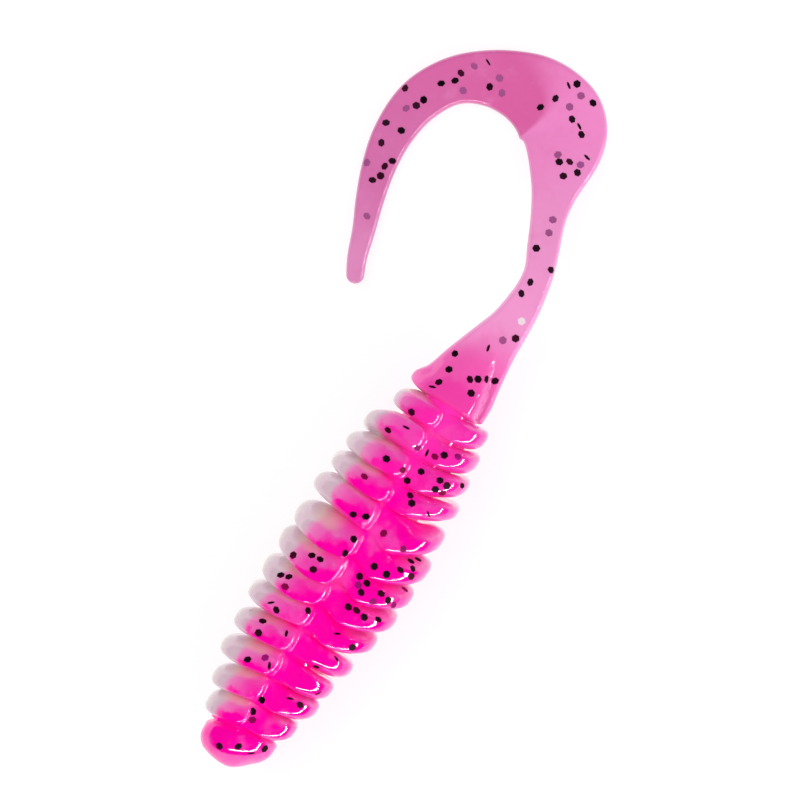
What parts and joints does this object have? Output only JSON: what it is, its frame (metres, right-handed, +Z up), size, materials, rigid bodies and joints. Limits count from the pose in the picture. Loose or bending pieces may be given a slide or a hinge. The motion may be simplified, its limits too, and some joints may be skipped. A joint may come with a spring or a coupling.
{
  "type": "soft plastic worm",
  "caption": "Soft plastic ribbed grub with a blunt nose, grooved flanks, pearl rib tips and a flat curled tail, divided into segments that flex.",
  "frame": {"origin": "middle of the flat end of the nose, on the body's axis", "axes": "+X along the body from the nose to the tail, +Y to the side that the tail curls to, +Z up from the flank that it lies on"},
  "size_m": [0.0551, 0.0207, 0.0078],
  "materials": {
    "hot_pink": "translucent soft vinyl, glossy, black hexagon flakes",
    "pearl_white": "translucent pearl soft vinyl, glossy",
    "tail_pink": "thin translucent soft vinyl, glossy, black hexagon flakes"
  },
  "bodies": {
    "nose": {"nose": "hot_pink"},
    "rib_01": {"rib_01": "hot_pink", "pearl_01": "pearl_white"},
    "rib_02": {"rib_02": "hot_pink", "pearl_02": "pearl_white"},
    "rib_03": {"rib_03": "hot_pink", "pearl_03": "pearl_white"},
    "rib_04": {"rib_04": "hot_pink", "pearl_04": "pearl_white"},
    "rib_05": {"rib_05": "hot_pink", "pearl_05": "pearl_white"},
    "rib_06": {"rib_06": "hot_pink", "pearl_06": "pearl_white"},
    "rib_07": {"rib_07": "hot_pink", "pearl_07": "pearl_white"},
    "rib_08": {"rib_08": "hot_pink", "pearl_08": "pearl_white"},
    "rib_09": {"rib_09": "hot_pink", "pearl_09": "pearl_white"},
    "rib_10": {"rib_10": "hot_pink", "pearl_10": "pearl_white"},
    "rib_11": {"rib_11": "hot_pink", "pearl_11": "pearl_white"},
    "rib_12": {"rib_12": "hot_pink", "pearl_12": "pearl_white"},
    "rib_13": {"rib_13": "hot_pink", "pearl_13": "pearl_white"},
    "tail_root": {"tail_root": "hot_pink"},
    "stem_1": {"stem_1": "tail_pink"},
    "stem_2": {"stem_2": "tail_pink"},
    "blade_1": {"blade_1": "tail_pink"},
    "blade_2": {"blade_2": "tail_pink"},
    "blade_3": {"blade_3": "tail_pink"},
    "blade_4": {"blade_4": "tail_pink"},
    "blade_5": {"blade_5": "tail_pink"},
    "blade_6": {"blade_6": "tail_pink"},
    "blade_7": {"blade_7": "tail_pink"},
    "tail_tip": {"tail_tip": "tail_pink"}
  },
  "joints": [
    {"name": "front_bend_1", "type": "hinge", "parent": "nose", "child": "rib_01", "pos_m": [0.003, 0, 0], "axis": [0.0087, 0, 1], "range_deg": [-5, 5], "stiffness_Nm_per_rad": 0.0016},
    {"name": "front_arch_1", "type": "hinge", "parent": "rib_01", "child": "rib_02", "pos_m": [0.00507, 0, 0], "axis": [0.1219, -0.9925, 0], "range_deg": [-5, 5], "stiffness_Nm_per_rad": 0.0016},
    {"name": "front_bend_2", "type": "hinge", "parent": "rib_02", "child": "rib_03", "pos_m": [0.00714, 0, 0], "axis": [0.0087, 0, 1], "range_deg": [-5, 5], "stiffness_Nm_per_rad": 0.0016},
    {"name": "front_arch_2", "type": "hinge", "parent": "rib_03", "child": "rib_04", "pos_m": [0.00921, 0, 0], "axis": [0.1219, -0.9925, 0], "range_deg": [-5, 5], "stiffness_Nm_per_rad": 0.0016},
    {"name": "front_bend_3", "type": "hinge", "parent": "rib_04", "child": "rib_05", "pos_m": [0.01128, 0, 0], "axis": [0.0087, 0, 1], "range_deg": [-5, 5], "stiffness_Nm_per_rad": 0.0016},
    {"name": "front_arch_3", "type": "hinge", "parent": "rib_05", "child": "rib_06", "pos_m": [0.01335, 0, 0], "axis": [0.1219, -0.9925, 0], "range_deg": [-5, 5], "stiffness_Nm_per_rad": 0.0016},
    {"name": "front_bend_4", "type": "hinge", "parent": "rib_06", "child": "rib_07", "pos_m": [0.01542, 0, 0], "axis": [0.0087, 0, 1], "range_deg": [-5, 5], "stiffness_Nm_per_rad": 0.0016},
    {"name": "rear_arch_1", "type": "hinge", "parent": "rib_07", "child": "rib_08", "pos_m": [0.01749, 0, 0], "axis": [0.1219, -0.9925, 0], "range_deg": [-5, 5], "stiffness_Nm_per_rad": 0.0016},
    {"name": "rear_bend_1", "type": "hinge", "parent": "rib_08", "child": "rib_09", "pos_m": [0.01956, 0, 0], "axis": [0.0087, 0, 1], "range_deg": [-5, 5], "stiffness_Nm_per_rad": 0.0016},
    {"name": "rear_arch_2", "type": "hinge", "parent": "rib_09", "child": "rib_10", "pos_m": [0.02163, 0, 0], "axis": [0.1219, -0.9925, 0], "range_deg": [-5, 5], "stiffness_Nm_per_rad": 0.0016},
    {"name": "rear_bend_2", "type": "hinge", "parent": "rib_10", "child": "rib_11", "pos_m": [0.0237, 0, 0], "axis": [0.0087, 0, 1], "range_deg": [-5, 5], "stiffness_Nm_per_rad": 0.0016},
    {"name": "rear_arch_3", "type": "hinge", "parent": "rib_11", "child": "rib_12", "pos_m": [0.02577, 0, 0], "axis": [0.1219, -0.9925, 0], "range_deg": [-5, 5], "stiffness_Nm_per_rad": 0.0016},
    {"name": "rear_bend_3", "type": "hinge", "parent": "rib_12", "child": "rib_13", "pos_m": [0.02784, 0, 0], "axis": [0.0087, 0, 1], "range_deg": [-5, 5], "stiffness_Nm_per_rad": 0.0016},
    {"name": "rear_arch_4", "type": "hinge", "parent": "rib_13", "child": "tail_root", "pos_m": [0.02991, 0, 0], "axis": [0.1219, -0.9925, 0], "range_deg": [-5, 5], "stiffness_Nm_per_rad": 0.0016},
    {"name": "tail_flap_1", "type": "hinge", "parent": "tail_root", "child": "stem_1", "pos_m": [0.03635, -0.0002, 0], "axis": [-0.0917, -0.9958, 0], "range_deg": [-12, 12], "stiffness_Nm_per_rad": 0.00004},
    {"name": "tail_curl_1", "type": "hinge", "parent": "stem_1", "child": "stem_2", "pos_m": [0.0405, -0.00031, -0.00012], "axis": [0.0087, 0, 1], "range_deg": [-15, 6], "stiffness_Nm_per_rad": 0.00005},
    {"name": "tail_flap_2", "type": "hinge", "parent": "stem_2", "child": "blade_1", "pos_m": [0.04444, 0.00116, -0.00116], "axis": [0.4112, -0.9115, 0], "range_deg": [-12, 12], "stiffness_Nm_per_rad": 0.00002},
    {"name": "tail_curl_2", "type": "hinge", "parent": "blade_1", "child": "blade_2", "pos_m": [0.04838, 0.00211, -0.00256], "axis": [0.0087, 0, 1], "range_deg": [-15, 6], "stiffness_Nm_per_rad": 0.00033},
    {"name": "tail_flap_3", "type": "hinge", "parent": "blade_2", "child": "blade_3", "pos_m": [0.05159, 0.0046, -0.00342], "axis": [0.8796, -0.4757, 0], "range_deg": [-12, 12], "stiffness_Nm_per_rad": 0.000025},
    {"name": "tail_curl_3", "type": "hinge", "parent": "blade_3", "child": "blade_4", "pos_m": [0.05201, 0.00868, -0.00345], "axis": [0.0087, 0, 1], "range_deg": [-15, 6], "stiffness_Nm_per_rad": 0.00048},
    {"name": "tail_flap_4", "type": "hinge", "parent": "blade_4", "child": "blade_5", "pos_m": [0.04986, 0.01222, -0.00345], "axis": [0.6586, 0.7525, 0], "range_deg": [-12, 12], "stiffness_Nm_per_rad": 0.000017},
    {"name": "tail_curl_4", "type": "hinge", "parent": "blade_5", "child": "blade_6", "pos_m": [0.04606, 0.01392, -0.00345], "axis": [0.0087, 0, 1], "range_deg": [-15, 6], "stiffness_Nm_per_rad": 0.00012},
    {"name": "tail_flap_5", "type": "hinge", "parent": "blade_6", "child": "blade_7", "pos_m": [0.04188, 0.01361, -0.00345], "axis": [-0.2405, 0.9707, 0], "range_deg": [-12, 12], "stiffness_Nm_per_rad": 0.000006},
    {"name": "tail_curl_5", "type": "hinge", "parent": "blade_7", "child": "tail_tip", "pos_m": [0.03788, 0.01231, -0.00345], "axis": [0.0087, 0, 1], "range_deg": [-15, 6], "stiffness_Nm_per_rad": 0.000013}
  ],
  "couplings": [
    {"joint": "front_bend_2", "follows": "front_bend_1", "ratio": 1},
    {"joint": "front_bend_3", "follows": "front_bend_1", "ratio": 1},
    {"joint": "front_bend_4", "follows": "front_bend_1", "ratio": 1},
    {"joint": "front_arch_2", "follows": "front_arch_1", "ratio": 1},
    {"joint": "front_arch_3", "follows": "front_arch_1", "ratio": 1},
    {"joint": "rear_arch_2", "follows": "rear_arch_1", "ratio": 1},
    {"joint": "rear_arch_3", "follows": "rear_arch_1", "ratio": 1},
    {"joint": "rear_arch_4", "follows": "rear_arch_1", "ratio": 1},
    {"joint": "rear_bend_2", "follows": "rear_bend_1", "ratio": 1},
    {"joint": "rear_bend_3", "follows": "rear_bend_1", "ratio": 1},
    {"joint": "tail_flap_2", "follows": "tail_flap_1", "ratio": 1},
    {"joint": "tail_flap_3", "follows": "tail_flap_1", "ratio": 1},
    {"joint": "tail_flap_4", "follows": "tail_flap_1", "ratio": 1},
    {"joint": "tail_flap_5", "follows": "tail_flap_1", "ratio": 1},
    {"joint": "tail_curl_2", "follows": "tail_curl_1", "ratio": 1},
    {"joint": "tail_curl_3", "follows": "tail_curl_1", "ratio": 1},
    {"joint": "tail_curl_4", "follows": "tail_curl_1", "ratio": 1},
    {"joint": "tail_curl_5", "follows": "tail_curl_1", "ratio": 1}
  ]
}
